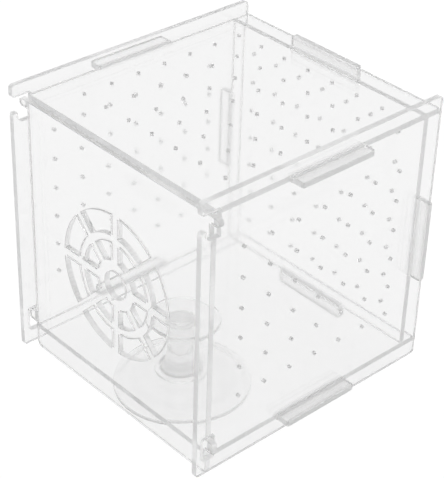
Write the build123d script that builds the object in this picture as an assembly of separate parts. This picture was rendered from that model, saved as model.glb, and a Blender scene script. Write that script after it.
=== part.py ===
# Aquarium breeder box: six laser cut acrylic sheets that lock together with tabs, and one soft suction cup.
# The origin lies under the middle of the box, on the plane that the box stands on, with +Z up.
# The front plate faces -Y, the door closes the -X end and the end wall closes the +X end.

from build123d import *
import os

# Acrylic sheet and the cube that the tab tips span
SHEET = 2.0
SIDE = 100.0
BUTT_PLAY = 0.05
CORNER_ROUND = 1.2
FOOT = 2.0

# Tabs and the slots that they pass through
TAB_WIDTH = 30.0
TAB_PROUD = 4.5
TAB_ROUND = 0.8
SLOT_PLAY = 0.1

# Where the two ends stand, measured from the edges of the front and back plates
WALL_MARGIN = 5.0
DOOR_MARGIN = 5.0

# Water holes
HOLE_DIAMETER = 1.25
HOLE_FACETS = 6
HOLE_PITCH = 11.0
PLATE_COLUMNS = 7
PLATE_ROWS = 6
SQUARE_COUNT = 7
HOLE_RISE = 1.5
LID_HOLES_TOWARDS_WALL = 3.0

# Sliding door and its four ears
DOOR_TOP_GAP = 0.2
LID_OVER_DOOR = 0.7
DOOR_SIDE_GAP = 0.4
DOOR_FACE_GAP = 0.3
DOOR_CORNER_ROUND = 2.5
EAR_PROUD = 1.7
EAR_ROUND = 1.3
TOP_EAR_HEIGHT = 2.8
BOTTOM_EAR_HEIGHT = 4.3
BOTTOM_EAR_RISE = 9.7
DOOR_LIFT = 0.1
DOOR_DROP = 2.7
EAR_PLAY = 0.1

# Cut-outs in the front and back plates that the ears run in
EAR_CLOSED_ROOM = 2.4
EAR_CLOSED_ROUND = 0.8
EAR_TILT_ROOM = 1.55
EAR_HOOK_ROOM = 3.0
POCKET_SPARE = 1.1
POCKET_ROUND = 1.8
MOUTH_SPARE = 2.25
MOUTH_CLEAR = 0.3
MOUTH_ROUND = 0.9
FINGER_ROUND = 0.5

# Rosette of openings in the door
ROSETTE_RISE = 48.0
ROSETTE_SPOKES = 8
SPOKE_WIDTH = 3.6
HUB_HOLE_RADIUS = 4.85
INNER_RING = (9.1, 15.2)
OUTER_RING = (18.2, 25.4)

# Suction cup, moulded in one piece, and its hole in the floor
CUP_DOOR_GAP = 0.3
CUP_Y = -4.8
CUP_RADIUS = 22.5
CUP_LIP_WIDTH = 1.2
CUP_LIP_HEIGHT = 1.7
CUP_SKIRT_RADIUS = 18.0
CUP_SKIRT_RISE = 0.6
CUP_HOLLOW = 3.4
CUP_SHOULDER_RADIUS = 8.3
CUP_SHOULDER_GAP = 0.2
CUP_BASE_RADIUS = 6.6
CUP_FLARE_HEIGHT = 10.0
CUP_NECK_RADIUS = 4.4
CUP_NECK_LENGTH = 19.6
CUP_HEAD_RADIUS = 11.7
CUP_HEAD_THICKNESS = 1.5
CUP_BUTTON_RISE = 0.9
CUP_HOLE_GAP = 0.3
CUP_CURVE_RUNS = 2

# Planes and faces that follow from the sizes above
centre_z = FOOT + SIDE / 2
half_inner = SIDE / 2 - TAB_PROUD - SHEET
butt_reach = half_inner - BUTT_PLAY
wall_inner_x = SIDE / 2 - WALL_MARGIN - SHEET
door_outer_x = DOOR_MARGIN - SIDE / 2
door_inner_x = door_outer_x + SHEET
panel_left_x = door_inner_x + DOOR_FACE_GAP
lid_left_x = door_inner_x - LID_OVER_DOOR
floor_under_z = centre_z - half_inner - SHEET
cup_x = door_inner_x + CUP_DOOR_GAP + CUP_RADIUS


def upright_sheet(outline, inner_y):
    """A sheet parallel to the front, drawn in X and height from the middle of the box."""
    face = Plane(origin=(0, inner_y, centre_z), x_dir=(1, 0, 0), z_dir=(0, -1, 0))
    return extrude(face * outline, amount=SHEET)


def level_sheet(outline, under_z):
    """A level sheet, drawn in X and Y."""
    return extrude(Plane.XY.offset(under_z) * outline, amount=SHEET)


def end_sheet(outline, near_x):
    """A sheet across one end, drawn in Y and height from the middle of the box."""
    face = Plane(origin=(near_x, 0, centre_z), x_dir=(0, 1, 0), z_dir=(1, 0, 0))
    return extrude(face * outline, amount=SHEET)


def span(low, high, across_low, across_high):
    """A rectangle between two limits each way."""
    middle = Pos((low + high) / 2, (across_low + across_high) / 2)
    return middle * Rectangle(high - low, across_high - across_low)


def slot(width, height):
    """A slot for a tab, with its play on every side."""
    return Rectangle(width + 2 * SLOT_PLAY, height + 2 * SLOT_PLAY)


def water_holes(columns, rows, middle_x=0.0, middle_y=0.0):
    """A grid of small holes, each with few sides so that nearly two hundred of them stay light."""
    hole = RegularPolygon(HOLE_DIAMETER / 2, HOLE_FACETS)
    grid = GridLocations(HOLE_PITCH, HOLE_PITCH, columns, rows)
    return [Pos(middle_x, middle_y) * place * hole for place in grid]


def rounded(outline, spots, radius):
    """The outline with the corners nearest the given spots rounded."""
    corners = [outline.vertices().sort_by_distance((x, y, 0))[0] for x, y in spots]
    return fillet(corners, radius)


def box_tabs(side):
    """A pair of tabs with rounded tips on two opposite edges, along X where side is 0 and Y where it is 1."""
    tip = half_inner + SHEET + TAB_PROUD
    pair = Rectangle(TAB_WIDTH, 2 * tip) if side else Rectangle(2 * tip, TAB_WIDTH)
    pair = fillet(pair.vertices(), TAB_ROUND)
    return pair - Rectangle(2 * butt_reach, 2 * butt_reach)


# Bottom and top of the ears, and of the cut-outs that they run in, from the middle of the box
door_bottom = -centre_z
door_top = half_inner - DOOR_TOP_GAP
bottom_ear = (door_bottom + BOTTOM_EAR_RISE, door_bottom + BOTTOM_EAR_RISE + BOTTOM_EAR_HEIGHT)
top_ear = (door_top - TOP_EAR_HEIGHT, door_top)
closed_slot = (bottom_ear[0] - DOOR_DROP - EAR_PLAY, bottom_ear[1] + DOOR_LIFT + EAR_PLAY + EAR_TILT_ROOM)
hook_bottom = top_ear[0] - DOOR_DROP - EAR_PLAY - POCKET_SPARE
mouth_bottom = top_ear[0] - MOUTH_CLEAR
mouth_top = top_ear[1] + DOOR_LIFT + EAR_PLAY + MOUTH_SPARE


def door_hook():
    """The hooked notch that the door's top ear drops into, open to the plate's left edge."""
    edge = -SIDE / 2
    pocket_left = door_outer_x - EAR_HOOK_ROOM
    outline = Polyline(
        (edge - SHEET, mouth_bottom),
        (pocket_left, mouth_bottom),
        (pocket_left, hook_bottom),
        (panel_left_x, hook_bottom),
        (panel_left_x, mouth_top),
        (edge - SHEET, mouth_top),
        close=True,
    )
    notch = make_face(outline)
    return rounded(notch, [(pocket_left, hook_bottom)], POCKET_ROUND)


def ear_window():
    """The closed cut-out that the door's bottom ear slides in."""
    far_side = door_outer_x - EAR_CLOSED_ROOM
    window = span(far_side, panel_left_x, *closed_slot)
    return rounded(window, [(far_side, height) for height in closed_slot], EAR_CLOSED_ROUND)


def side_plate():
    """The outline of the front and back plates."""
    outline = fillet(Rectangle(SIDE, SIDE).vertices(), CORNER_ROUND)
    panel_middle = half_inner + SHEET / 2
    outline -= Pos(0, panel_middle) * slot(TAB_WIDTH, SHEET)
    outline -= Pos(0, -panel_middle) * slot(TAB_WIDTH, SHEET)
    outline -= Pos(wall_inner_x + SHEET / 2, 0) * slot(SHEET, TAB_WIDTH)
    outline -= ear_window()
    outline -= door_hook()
    edge = -SIDE / 2
    outline = rounded(outline, [(edge, mouth_bottom), (edge, mouth_top)], MOUTH_ROUND)
    outline = rounded(outline, [(door_outer_x - EAR_HOOK_ROOM, mouth_bottom)], FINGER_ROUND)
    return outline - water_holes(PLATE_COLUMNS, PLATE_ROWS, 0, HOLE_RISE)


def level_panel(left_x):
    """The outline that the lid and the floor share from their left edges on, with the slot for the end wall's tab."""
    outline = span(left_x, SIDE / 2, -butt_reach, butt_reach)
    outline += box_tabs(1)
    return outline - Pos(wall_inner_x + SHEET / 2, 0) * slot(SHEET, TAB_WIDTH)


def end_wall_outline():
    """The square end wall with a tab in the middle of each edge."""
    outline = Rectangle(2 * butt_reach, 2 * butt_reach)
    outline += box_tabs(0)
    outline += box_tabs(1)
    return outline - water_holes(SQUARE_COUNT, SQUARE_COUNT, 0, HOLE_RISE)


def ring_slots(ring):
    """One ring of openings, cut apart by the spokes."""
    inner, outer = ring
    openings = Circle(outer) - Circle(inner)
    for spoke in range(ROSETTE_SPOKES // 2):
        openings -= Rot(0, 0, spoke * 360 / ROSETTE_SPOKES) * Rectangle(3 * outer, SPOKE_WIDTH)
    return openings


def door_outline():
    """The sliding door with its four ears and the rosette."""
    half_width = half_inner - DOOR_SIDE_GAP
    ear_tip = half_inner + SHEET + EAR_PROUD
    outline = span(-half_width, half_width, door_bottom, door_top)
    outline = rounded(outline, [(side * half_width, door_bottom) for side in (-1, 1)], DOOR_CORNER_ROUND)
    for ear in (top_ear, bottom_ear):
        bar = span(-ear_tip, ear_tip, *ear)
        outline += fillet(bar.vertices(), EAR_ROUND)
    rosette = Circle(HUB_HOLE_RADIUS) + ring_slots(INNER_RING) + ring_slots(OUTER_RING)
    return outline - Pos(0, door_bottom + ROSETTE_RISE) * rosette


def in_runs(curve):
    """A curve as a few straight runs, which keeps a revolved face light."""
    return Polyline(*[curve @ (step / CUP_CURVE_RUNS) for step in range(CUP_CURVE_RUNS + 1)])


def suction_cup():
    """The cup: a hollow disc under the floor, a flared neck through it and a flat head inside."""
    shoulder_z = floor_under_z - CUP_SHOULDER_GAP
    flare_top_z = shoulder_z + CUP_FLARE_HEIGHT
    head_under_z = shoulder_z + CUP_NECK_LENGTH
    head_top_z = head_under_z + CUP_HEAD_THICKNESS
    button_z = head_top_z + CUP_BUTTON_RISE
    skirt_z = CUP_LIP_HEIGHT + CUP_SKIRT_RISE
    lip_inner = CUP_RADIUS - CUP_LIP_WIDTH
    hollow = in_runs(TangentArc((0, CUP_HOLLOW), (lip_inner, 0), tangent=(1, 0)))
    rim = Polyline(
        (lip_inner, 0),
        (CUP_RADIUS, 0),
        (CUP_RADIUS, CUP_LIP_HEIGHT),
        (CUP_SKIRT_RADIUS, skirt_z),
    )
    dome = in_runs(TangentArc((CUP_SHOULDER_RADIUS, shoulder_z), (CUP_SKIRT_RADIUS, skirt_z), tangent=(1, 0)))
    shoulder = Line((CUP_SHOULDER_RADIUS, shoulder_z), (CUP_BASE_RADIUS, shoulder_z))
    flare = in_runs(TangentArc((CUP_NECK_RADIUS, flare_top_z), (CUP_BASE_RADIUS, shoulder_z), tangent=(0, -1)))
    head = Polyline(
        (CUP_NECK_RADIUS, flare_top_z),
        (CUP_NECK_RADIUS, head_under_z),
        (CUP_HEAD_RADIUS, head_under_z),
        (CUP_HEAD_RADIUS, head_top_z),
        (CUP_NECK_RADIUS, head_top_z),
        (CUP_NECK_RADIUS, button_z),
        (0, button_z),
        (0, CUP_HOLLOW),
    )
    profile = make_face(Plane.XZ * (hollow + rim + dome + shoulder + flare + head))
    return Pos(cup_x, CUP_Y, 0) * revolve(profile, Axis.Z)


lid_outline = level_panel(lid_left_x) - water_holes(SQUARE_COUNT, SQUARE_COUNT, LID_HOLES_TOWARDS_WALL, 0)
floor_outline = level_panel(panel_left_x) - Pos(cup_x, CUP_Y) * Circle(CUP_BASE_RADIUS + CUP_HOLE_GAP)

nodes = {
    "front_plate": upright_sheet(side_plate(), -half_inner),
    "back_plate": upright_sheet(side_plate(), half_inner + SHEET),
    "lid_panel": level_sheet(lid_outline, centre_z + half_inner),
    "floor_panel": level_sheet(floor_outline, floor_under_z),
    "end_wall": end_sheet(end_wall_outline(), wall_inner_x),
    "sliding_door": end_sheet(door_outline(), door_outer_x),
    "suction_cup": suction_cup(),
}

os.makedirs("parts", exist_ok=True)
for name, shape in nodes.items():
    export_step(shape, f"parts/{name}.step")
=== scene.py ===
# Aquarium breeder box of clear acrylic sheet with a soft suction cup, on a pale table under studio light.

import bmesh
import bpy
import math
from mathutils import Matrix, Vector


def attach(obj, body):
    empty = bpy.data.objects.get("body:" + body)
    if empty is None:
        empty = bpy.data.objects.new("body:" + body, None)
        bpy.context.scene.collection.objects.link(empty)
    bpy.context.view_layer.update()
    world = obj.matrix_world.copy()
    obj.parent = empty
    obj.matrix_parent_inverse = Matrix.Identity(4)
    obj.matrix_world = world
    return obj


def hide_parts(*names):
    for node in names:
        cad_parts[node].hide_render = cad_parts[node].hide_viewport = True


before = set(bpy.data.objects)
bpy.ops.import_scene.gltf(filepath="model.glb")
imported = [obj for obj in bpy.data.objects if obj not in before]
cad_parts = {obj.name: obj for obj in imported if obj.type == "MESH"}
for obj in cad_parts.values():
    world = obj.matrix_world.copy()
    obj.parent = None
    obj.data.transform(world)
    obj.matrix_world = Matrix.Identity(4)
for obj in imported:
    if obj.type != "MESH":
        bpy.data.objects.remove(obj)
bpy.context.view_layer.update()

MM = 0.001
WHITE = "#FFFFFF"

# White studio: each surface as the camera sees it, as clear pieces see it, and as light for the rest
BACKDROP = (1.0, 0.895, 0.95)
TABLE_TOP = (0.935, 0.82, 0.8)
TABLE_MATT = "#5B5B5B"

# Table and lamp: lengths and places in metres, power in watts
TABLE_SIZE = 6.0
LAMP_SIZE = 0.9
LAMP_POWER = 3.0
LAMP_PLACE = Vector((-0.7, -0.6, 1.3))
LAMP_AIM = Vector((0, 0, 0.05))

# Places on the sheets, in millimetres from the middle of the box
BOX_MIDDLE = 52
HOLE_FIELD = 38
TAB_HALF_WIDTH = 15.1
TAB_TIP_FROM = 49
SLOT_MIDDLE = 44.5
SLOT_REACH = 1.7
SLOT_HALF_WIDTH = 15.3

# Haze of the bonded tabs: where it starts and thins out, and what is left at the tips and near the back
HAZE_RISE = (41.7, 42.7)
HAZE_FALL = (45.6, 47.8)
HAZE_AT_TIP = 0.6
BACK_FADE = (30, 40)
HAZE_AT_BACK = 0.45

# How far a face's direction leans to the sheet's thickness: below this on a cut, and about this on a rim
CUT_LEAN = 0.4
RIM_LEAN = (0.7, 0.25)

# Roughness of the polished faces, and what each layer does to them: roughness added, clear share taken, tint
POLISHED = (0.033, 0.066)
CUT_PLATE = (0.27, 0.28, "#FAFAFA")
CUT_PANEL = (0.27, 0.31, "#F8F8F8")
CUT_DOOR = (0.25, 0.18, "#FFFFFF")
LASER_LINES = (0.03, 0.02, "#EEEEEE")
# On the rims the grey tint is painted shade, for the dark lines that rounded edges show as they bend light;
# their roughness and lost clear share are real frost
RIM_FROST_AND_PAINTED_SHADE = (0.3, 0.2, "#F0F0F0")
DOOR_RIM_FROST_AND_PAINTED_SHADE = (0.3, 0.4, "#C8C8C8")
WATER_HOLE = (0.1, 0.15, "#E4E4E4")
BONDED_SLOT = (0.1, 0.27, "#FFFFFF")
BONDED_TAB = (0.25, 0.12, "#F4F4F4")
TAB_TIP = (0.0, 0.1, "#E0E0E0")

# Sizes of the patterns in millimetres, the part of each that is used, and roughness of the moulded skin
WIPED_PATCH = 25
LINE_PITCH = 0.625
SKIN_PATCH = 6.25
PATCH_RANGE = {1: 0.3, 2: 0.7}
LINE_RANGE = {1: 0.35, 2: 0.65}
SKIN_RELIEF = 0.1
SKIN_ROUGHNESS = (0.14, 0.22)

# How much each plastic bends light, and the tint and strength with which it darkens by the metre
ACRYLIC_IOR = 1.49
PVC_IOR = 1.53
ACRYLIC_DEPTH = ("#D8D8D8", 4.0)
PVC_DEPTH = ("#D4D4D4", 20.0)
SHADOW_TINT = "#F7F7F7"

# Settings of the sums that masks are made with
MULTIPLY = {"operation": "MULTIPLY"}
MULTIPLY_ADD = {"operation": "MULTIPLY_ADD"}
MAXIMUM = {"operation": "MAXIMUM"}
ABSOLUTE = {"operation": "ABSOLUTE"}
SUBTRACT = {"operation": "SUBTRACT"}
COMPARE = {"operation": "COMPARE"}
BELOW = {"operation": "LESS_THAN"}
ABOVE = {"operation": "GREATER_THAN"}


def linear(hex_colour):
    """An sRGB hex colour as the linear colour that a shader takes."""
    channels = [int(hex_colour[place:place + 2], 16) / 255 for place in (1, 3, 5)]
    return tuple(c / 12.92 if c <= 0.04045 else ((c + 0.055) / 1.055) ** 2.4 for c in channels) + (1.0,)


def node(tree, kind, settings=None, values=None, links=None):
    """Adds a shader node with its settings, socket values and links. A node stands for its first output."""
    made = tree.nodes.new(kind)
    for name, value in (settings or {}).items():
        setattr(made, name, value)
    for socket, value in (values or {}).items():
        made.inputs[socket].default_value = value
    for socket, source in (links or {}).items():
        if source is not None:
            output = source.outputs[0] if isinstance(source, bpy.types.Node) else source
            tree.links.new(output, made.inputs[socket])
    return made


def new_material(name):
    """An empty material and its node tree."""
    material = bpy.data.materials.new(name)
    material.use_nodes = True
    tree = material.node_tree
    tree.nodes.clear()
    return material, tree


def from_middle(tree, parts, axis):
    """The distance from the middle of the box along one axis."""
    middle = BOX_MIDDLE * MM if axis == "Z" else 0.0
    offset = node(tree, "ShaderNodeMath", SUBTRACT, {1: middle}, {0: parts.outputs[axis]})
    return node(tree, "ShaderNodeMath", ABSOLUTE, links={0: offset})


def cut_face_masks(tree, axis):
    """Two masks: 1 on the laser cut faces, and 1 on their melted rims. The axis is the sheet's thickness."""
    place = node(tree, "ShaderNodeTexCoord")
    parts = node(tree, "ShaderNodeSeparateXYZ", links={0: place.outputs["Normal"]})
    lean = node(tree, "ShaderNodeMath", ABSOLUTE, links={0: parts.outputs[axis]})
    cut = node(tree, "ShaderNodeMath", BELOW, {1: CUT_LEAN}, {0: lean})
    rim = node(tree, "ShaderNodeMath", COMPARE, {1: RIM_LEAN[0], 2: RIM_LEAN[1]}, {0: lean})
    return cut, rim


def water_hole_mask(tree, parts, axis, on_cut):
    """1 on the walls of the water holes, which are the only cut faces in the middle of a sheet."""
    along, across = [from_middle(tree, parts, other) for other in "XYZ" if other != axis]
    reach = node(tree, "ShaderNodeMath", MAXIMUM, links={0: along, 1: across})
    field = node(tree, "ShaderNodeMath", BELOW, {1: HOLE_FIELD * MM}, {0: reach})
    return node(tree, "ShaderNodeMath", MULTIPLY, links={0: field, 1: on_cut})


def slot_wall_mask(tree, parts, slot_axes, on_cut):
    """1 on the walls of the bonded slots. Each has the axis from the middle to it, then its width's axis."""
    total = None
    for along, across in slot_axes:
        reach = from_middle(tree, parts, along)
        side = from_middle(tree, parts, across)
        near = node(tree, "ShaderNodeMath", COMPARE, {1: SLOT_MIDDLE * MM, 2: SLOT_REACH * MM}, {0: reach})
        inside = node(tree, "ShaderNodeMath", BELOW, {1: SLOT_HALF_WIDTH * MM}, {0: side})
        slot = node(tree, "ShaderNodeMath", MULTIPLY, links={0: near, 1: inside})
        total = node(tree, "ShaderNodeMath", MAXIMUM, {1: 0}, {0: slot, 1: total})
    return node(tree, "ShaderNodeMath", MULTIPLY, links={0: total, 1: on_cut})


def bond_haze_mask(tree, parts, tab_axes):
    """How strongly solvent has hazed each tab: most in its slot, less at its tip, and least near the back."""
    total = None
    for along, across in tab_axes:
        reach = from_middle(tree, parts, along)
        side = from_middle(tree, parts, across)
        rising = {1: HAZE_RISE[0] * MM, 2: HAZE_RISE[1] * MM, 3: 0, 4: 1}
        rise = node(tree, "ShaderNodeMapRange", values=rising, links={0: reach})
        falling = {1: HAZE_FALL[0] * MM, 2: HAZE_FALL[1] * MM, 3: 1, 4: HAZE_AT_TIP}
        fall = node(tree, "ShaderNodeMapRange", values=falling, links={0: reach})
        inside = node(tree, "ShaderNodeMath", BELOW, {1: TAB_HALF_WIDTH * MM}, {0: side})
        both = node(tree, "ShaderNodeMath", MULTIPLY, links={0: rise, 1: fall})
        tab = node(tree, "ShaderNodeMath", MULTIPLY, links={0: both, 1: inside})
        total = node(tree, "ShaderNodeMath", MAXIMUM, {1: 0}, {0: tab, 1: total})
    fading = {1: BACK_FADE[0] * MM, 2: BACK_FADE[1] * MM, 3: 1, 4: HAZE_AT_BACK}
    back = node(tree, "ShaderNodeMapRange", values=fading, links={0: parts.outputs["Y"]})
    return node(tree, "ShaderNodeMath", MULTIPLY, links={0: total, 1: back})


def tab_tip_mask(tree, parts, tab_axes, on_cut):
    """1 on the cut faces at the tabs' tips."""
    total = None
    for along, _ in tab_axes:
        reach = from_middle(tree, parts, along)
        tip = node(tree, "ShaderNodeMath", ABOVE, {1: TAB_TIP_FROM * MM}, {0: reach})
        total = node(tree, "ShaderNodeMath", MAXIMUM, {1: 0}, {0: tip, 1: total})
    return node(tree, "ShaderNodeMath", MULTIPLY, links={0: total, 1: on_cut})


def finish_clear(tree, solid, depth_tint, density):
    """Lets lamp light through the clear solid to the table, and takes light along its length."""
    clear = node(tree, "ShaderNodeBsdfTransparent", values={"Color": linear(SHADOW_TINT)})
    path = node(tree, "ShaderNodeLightPath")
    mix = node(tree, "ShaderNodeMixShader", links={0: path.outputs["Is Shadow Ray"], 1: solid, 2: clear})
    depth = node(tree, "ShaderNodeVolumeAbsorption", values={"Color": linear(depth_tint), "Density": density})
    node(tree, "ShaderNodeOutputMaterial", links={"Surface": mix, "Volume": depth})


def add_layers(tree, solid, rough, layers):
    """Where a layer's mask is 1 it adds to the roughness, takes from the clear share and sets the tint."""
    share = tint = None
    for mask, (rougher, less_clear, colour) in layers:
        rough = node(tree, "ShaderNodeMath", MULTIPLY_ADD, {1: rougher}, {0: mask, 2: rough})
        share = node(tree, "ShaderNodeMath", MULTIPLY_ADD, {1: -less_clear, 2: 1}, {0: mask, 2: share})
        tints = {6: linear(WHITE), 7: linear(colour)}
        tint = node(tree, "ShaderNodeMix", {"data_type": "RGBA"}, tints, {0: mask, 6: tint}).outputs[2]
    tree.links.new(rough.outputs[0], solid.inputs["Roughness"])
    tree.links.new(share.outputs[0], solid.inputs["Transmission Weight"])
    tree.links.new(tint, solid.inputs["Base Color"])


def cast_acrylic(sheet, axis, cut, rim, tab_axes=(), slot_axes=(), holes=False):
    """Cast acrylic sheet, cut by laser. Its faces are as clear as glass, its cuts are frosted and gather
    light from the whole sheet, and solvent leaves a grey haze where a tab is bonded in its slot."""
    material, tree = new_material("cast_acrylic_laser_cut_" + sheet)
    solid = node(tree, "ShaderNodeBsdfPrincipled", values={"IOR": ACRYLIC_IOR})
    place = node(tree, "ShaderNodeTexCoord").outputs["Object"]
    parts = node(tree, "ShaderNodeSeparateXYZ", links={0: place})
    on_cut, on_rim = cut_face_masks(tree, axis)

    # Wiping leaves the polished faces a little softer in some patches than in others
    patches = {"Scale": 1 / (WIPED_PATCH * MM), "Detail": 2}
    wipes = node(tree, "ShaderNodeTexNoise", values=patches, links={0: place})
    from_wipes = {**PATCH_RANGE, 3: POLISHED[0], 4: POLISHED[1]}
    polished = node(tree, "ShaderNodeMapRange", values=from_wipes, links={0: wipes})

    # The laser leaves lines straight through the thickness, 0.15 mm apart. They are drawn at 0.6 mm, to show
    along_cut = tuple(0.0 if other == axis else 1.0 for other in "XYZ")
    through = node(tree, "ShaderNodeVectorMath", MULTIPLY, {1: along_cut}, {0: place})
    pitch = {"Scale": 1 / (LINE_PITCH * MM), "Detail": 1}
    lines = node(tree, "ShaderNodeTexNoise", values=pitch, links={0: through})
    sharper = node(tree, "ShaderNodeMapRange", values=LINE_RANGE, links={0: lines})
    lined = node(tree, "ShaderNodeMath", MULTIPLY, links={0: on_cut, 1: sharper})

    # The rim layer's grey tint is painted shade, darkest on the door, standing for the dark lines of the
    # rounded rims
    layers = [(on_cut, cut), (lined, LASER_LINES), (on_rim, rim)]
    if holes:
        layers.append((water_hole_mask(tree, parts, axis, on_cut), WATER_HOLE))
    if slot_axes:
        layers.append((slot_wall_mask(tree, parts, slot_axes, on_cut), BONDED_SLOT))
    if tab_axes:
        layers.append((bond_haze_mask(tree, parts, tab_axes), BONDED_TAB))
        layers.append((tab_tip_mask(tree, parts, tab_axes, on_cut), TAB_TIP))
    add_layers(tree, solid, polished, layers)
    finish_clear(tree, solid, *ACRYLIC_DEPTH)
    return material


def moulded_pvc():
    """Soft PVC, injection moulded. It looks greyer where it is thick, and the mould's finish gives it a satin
    skin with a faint swell."""
    material, tree = new_material("soft_pvc_injection_moulded")
    clear = {"Base Color": linear(WHITE), "IOR": PVC_IOR, "Transmission Weight": 1.0}
    solid = node(tree, "ShaderNodeBsdfPrincipled", values=clear)
    place = node(tree, "ShaderNodeTexCoord").outputs["Object"]
    patches = {"Scale": 1 / (SKIN_PATCH * MM), "Detail": 2}
    swell = node(tree, "ShaderNodeTexNoise", values=patches, links={0: place})
    from_swell = {**PATCH_RANGE, 3: SKIN_ROUGHNESS[0], 4: SKIN_ROUGHNESS[1]}
    skin = node(tree, "ShaderNodeMapRange", values=from_swell, links={0: swell})
    height = {"Strength": 0.3, "Distance": SKIN_RELIEF * MM}
    relief = node(tree, "ShaderNodeBump", values=height, links={"Height": swell})
    tree.links.new(skin.outputs[0], solid.inputs["Roughness"])
    tree.links.new(relief.outputs[0], solid.inputs["Normal"])
    finish_clear(tree, solid, *PVC_DEPTH)
    return material


def white_strength(tree, to_camera, to_clear_pieces, as_light):
    """The strength of an even white that camera, clear pieces and the rest each see at their own level."""
    path = node(tree, "ShaderNodeLightPath")
    glass_rays = {0: path.outputs["Is Glossy Ray"], 1: path.outputs["Is Transmission Ray"]}
    through = node(tree, "ShaderNodeMath", MAXIMUM, links=glass_rays)
    plain = {"data_type": "FLOAT"}
    unseen = node(tree, "ShaderNodeMix", plain, {2: as_light, 3: to_clear_pieces}, {0: through})
    return node(tree, "ShaderNodeMix", plain, {3: to_camera}, {0: path.outputs["Is Camera Ray"], 2: unseen})


def white_laminate():
    """White laminate, pressed with a matt face. It mirrors nothing and shows the box's shadow faintly."""
    material, tree = new_material("white_laminate_pressed_matt")
    strength = white_strength(tree, *TABLE_TOP)
    glow = node(tree, "ShaderNodeEmission", values={"Color": linear(WHITE)}, links={"Strength": strength})
    matt = node(tree, "ShaderNodeBsdfDiffuse", values={"Color": linear(TABLE_MATT)})
    both = node(tree, "ShaderNodeAddShader", links={0: glow, 1: matt})
    node(tree, "ShaderNodeOutputMaterial", links={"Surface": both})
    return material


# Each sheet has its own cuts, slots, tabs and water holes. The plates are alike, as are the lid and the floor
side_plate = cast_acrylic("plate", "Y", CUT_PLATE, RIM_FROST_AND_PAINTED_SHADE, slot_axes=["ZX", "XZ"], holes=True)
level_panel = cast_acrylic("panel", "Z", CUT_PANEL, RIM_FROST_AND_PAINTED_SHADE, tab_axes=["YX"], holes=True)
acrylic = {
    "front_plate": side_plate,
    "back_plate": side_plate,
    "lid_panel": level_panel,
    "floor_panel": level_panel,
    "end_wall": cast_acrylic("end_wall", "X", CUT_PANEL, RIM_FROST_AND_PAINTED_SHADE, tab_axes=["YZ", "ZY"], holes=True),
    "sliding_door": cast_acrylic("door", "X", CUT_DOOR, DOOR_RIM_FROST_AND_PAINTED_SHADE),
}
soft_pvc = moulded_pvc()

# The laser melts a thin round rim on each square edge. Widths are in millimetres, and the corner in degrees
RIM_WIDTH = 0.08
RIM_WIDTH_DOOR = 0.24
CORNER_GAP = 0.01
SQUARE_CORNER = 88

for name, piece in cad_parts.items():
    piece.data.materials.clear()
    piece.data.materials.append(acrylic.get(name, soft_pvc))
    if name in acrylic:
        piece.modifiers.new("joined_faces", "WELD").merge_threshold = CORNER_GAP * MM
        rim = piece.modifiers.new("melted_rim", "BEVEL")
        rim.width = (RIM_WIDTH_DOOR if name == "sliding_door" else RIM_WIDTH) * MM
        rim.segments = 2
        rim.limit_method = "ANGLE"
        rim.angle_limit = math.radians(SQUARE_CORNER)
        rim.use_clamp_overlap = False
        rim.loop_slide = False

# Suction cup: radius and height of its section in millimetres, from the button down and round to the hollow
CUP_SECTION = [
    (0, 28.3), (3.6, 28.3), (4.3, 28.2), (4.4, 27.75), (4.6, 27.42), (5.6, 27.4),
    (10.8, 27.4), (11.5, 27.38), (11.7, 27.2), (11.7, 26.1), (11.5, 25.92), (10.8, 25.9),
    (5.8, 25.9), (4.7, 25.6), (4.4, 24.6), (4.4, 20.5), (4.4, 16.3), (4.75, 12.8), (5.5, 9.6), (6.3, 7.4),
    (6.6, 6.5), (7.2, 6.3), (8.2, 6.3), (8.5, 6.2), (8.6, 5.85), (9.1, 5.7), (11.86, 5.5), (15.2, 4.3),
    (17.6, 2.75), (18.6, 2.2), (20.4, 1.95), (22.1, 1.75), (22.5, 1.55), (22.5, 0.2), (22.3, 0),
    (21.4, 0), (20.2, 0.35), (18.0, 0.99), (15.0, 1.73), (10.0, 2.66), (5.0, 3.22), (0, 3.4),
]
CUP_MIDDLE = (-20.2, -4.8)
CUP_STEPS = 32

shape = bmesh.new()
rings = []
for radius, height in CUP_SECTION:
    if radius == 0:
        rings.append([shape.verts.new((CUP_MIDDLE[0] * MM, CUP_MIDDLE[1] * MM, height * MM))])
        continue
    ring = []
    for step in range(CUP_STEPS):
        around = 2 * math.pi * step / CUP_STEPS
        x = CUP_MIDDLE[0] + radius * math.cos(around)
        y = CUP_MIDDLE[1] + radius * math.sin(around)
        ring.append(shape.verts.new((x * MM, y * MM, height * MM)))
    rings.append(ring)
for above, below in zip(rings, rings[1:]):
    for step in range(CUP_STEPS):
        after = (step + 1) % CUP_STEPS
        near = [above[step % len(above)], below[step % len(below)]]
        far = [below[after % len(below)], above[after % len(above)]]
        shape.faces.new(list(dict.fromkeys(near + far)))
bmesh.ops.recalc_face_normals(shape, faces=shape.faces)
for face in shape.faces:
    face.smooth = True
cup_mesh = bpy.data.meshes.new("moulded_suction_cup")
shape.to_mesh(cup_mesh)
shape.free()
cup = bpy.data.objects.new("moulded_suction_cup", cup_mesh)
bpy.context.collection.objects.link(cup)
cup_mesh.materials.append(soft_pvc)
smoother = cup.modifiers.new("smooth_moulding", "SUBSURF")
smoother.levels = 2
smoother.render_levels = 2
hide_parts("suction_cup")
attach(cup, "cup")

# White backdrop all round
studio = bpy.data.worlds.new("white_studio")
bpy.context.scene.world = studio
studio.use_nodes = True
tree = studio.node_tree
tree.nodes.clear()
strength = white_strength(tree, *BACKDROP)
backdrop = node(tree, "ShaderNodeBackground", values={"Color": linear(WHITE)}, links={"Strength": strength})
node(tree, "ShaderNodeOutputWorld", links={"Surface": backdrop})

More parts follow.
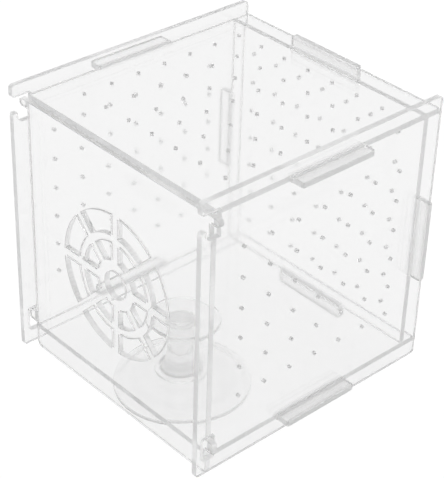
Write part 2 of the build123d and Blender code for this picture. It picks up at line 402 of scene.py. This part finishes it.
# Table top that the box stands on
bpy.ops.mesh.primitive_plane_add(size=TABLE_SIZE, location=(0, 0, 0))
table = bpy.context.object
table.name = "table_top"
table.data.materials.append(white_laminate())

# Soft key light, high on the left, that looks at the middle of the box
lamp_data = bpy.data.lights.new("soft_key", "AREA")
lamp_data.shape = "DISK"
lamp_data.size = LAMP_SIZE
lamp_data.energy = LAMP_POWER
lamp = bpy.data.objects.new("soft_key", lamp_data)
bpy.context.collection.objects.link(lamp)
lamp.location = LAMP_PLACE
lamp.rotation_euler = (LAMP_AIM - LAMP_PLACE).to_track_quat("-Z", "Y").to_euler()

# Camera, fitted to the sheet edges in the photo: turn, height and roll in degrees, the rest in millimetres
AZIMUTH = -43.119
ELEVATION = 33.337
ROLL = 1.904
DISTANCE = 510.934
SHIFT_RIGHT = 0.093
SHIFT_UP = -4.444
FOCAL_PIXELS = 1559.276
FRAME_HEIGHT_PIXELS = 478
SENSOR = 36.0

turn = math.radians(AZIMUTH)
tilt = math.radians(ELEVATION)
roll = math.radians(ROLL)
back = Vector((math.sin(turn) * math.cos(tilt), -math.cos(turn) * math.cos(tilt), math.sin(tilt)))
level_right = Vector((math.cos(turn), math.sin(turn), 0))
level_up = back.cross(level_right)
right = level_right * math.cos(roll) + level_up * math.sin(roll)
up = level_up * math.cos(roll) - level_right * math.sin(roll)
stand = Vector((0, 0, BOX_MIDDLE)) + back * DISTANCE + right * SHIFT_RIGHT + up * SHIFT_UP

camera_data = bpy.data.cameras.new("camera")
camera_data.sensor_width = SENSOR
camera_data.lens = SENSOR * FOCAL_PIXELS / FRAME_HEIGHT_PIXELS
camera_data.clip_start = 0.01
camera = bpy.data.objects.new("camera", camera_data)
bpy.context.collection.objects.link(camera)
camera.matrix_world = Matrix.Translation(stand * MM) @ Matrix((right, up, back)).transposed().to_4x4()
bpy.context.scene.camera = camera

# Clear sheets guide light along their length, which takes many bounces
MOST_BOUNCES = 200
cycles = bpy.context.scene.cycles
cycles.max_bounces = MOST_BOUNCES
cycles.glossy_bounces = MOST_BOUNCES
cycles.transmission_bounces = MOST_BOUNCES
cycles.transparent_max_bounces = MOST_BOUNCES

bpy.context.scene.view_settings.view_transform = "Standard"
